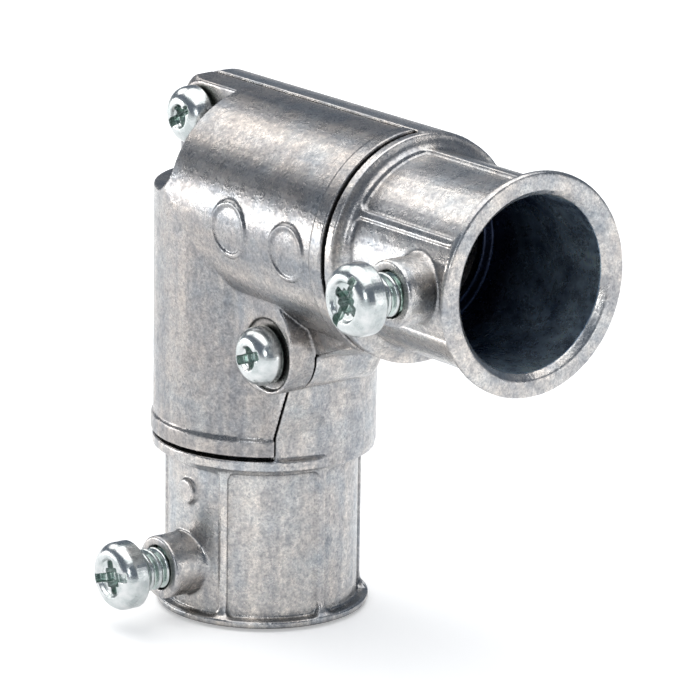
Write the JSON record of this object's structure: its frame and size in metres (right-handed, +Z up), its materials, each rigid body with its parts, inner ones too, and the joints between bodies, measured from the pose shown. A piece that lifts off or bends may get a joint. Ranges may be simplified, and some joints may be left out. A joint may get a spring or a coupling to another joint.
{
  "type": "conduit inside corner connector",
  "caption": "Right-angle die-cast elbow for thin-wall conduit: two set-screw sockets and a screwed lift-off cover that faces the inside of a corner.",
  "frame": {"origin": "centre of the lower socket's mouth, in the plane of its rim face", "axes": "+Z up the lower socket's axis to the bend, +X out along the side socket's axis, -Y towards the side that the cover and all the screws face"},
  "size_m": [0.0575, 0.0327, 0.0575],
  "materials": {
    "cast_zinc": "as-cast zinc alloy, satin",
    "cast_zinc_cover": "as-cast zinc alloy, satin, slightly browner",
    "plated_steel": "bright zinc plating with a faint green tint"
  },
  "bodies": {
    "elbow": {"elbow_body": "cast_zinc"},
    "cover": {"access_cover": "cast_zinc_cover"},
    "outer_cover_screw": {"cover_screw_outer": "plated_steel"},
    "inner_cover_screw": {"cover_screw_inner": "plated_steel"},
    "side_set_screw": {"set_screw_side": "plated_steel"},
    "lower_set_screw": {"set_screw_lower": "plated_steel"}
  },
  "joints": [
    {"name": "cover_lift", "type": "slide", "parent": "elbow", "child": "cover", "axis": [0, -1, 0], "range_m": [0, 0.025]},
    {"name": "outer_cover_screw_out", "type": "slide", "parent": "cover", "child": "outer_cover_screw", "axis": [0, -1, 0], "range_m": [0, 0.009]},
    {"name": "inner_cover_screw_out", "type": "slide", "parent": "cover", "child": "inner_cover_screw", "axis": [0, -1, 0], "range_m": [0, 0.009]},
    {"name": "side_set_screw_out", "type": "slide", "parent": "elbow", "child": "side_set_screw", "axis": [0, -1, 0], "range_m": [-0.0022, 0.0035]},
    {"name": "lower_set_screw_out", "type": "slide", "parent": "elbow", "child": "lower_set_screw", "axis": [0, -1, 0], "range_m": [-0.0031, 0.0025]}
  ]
}
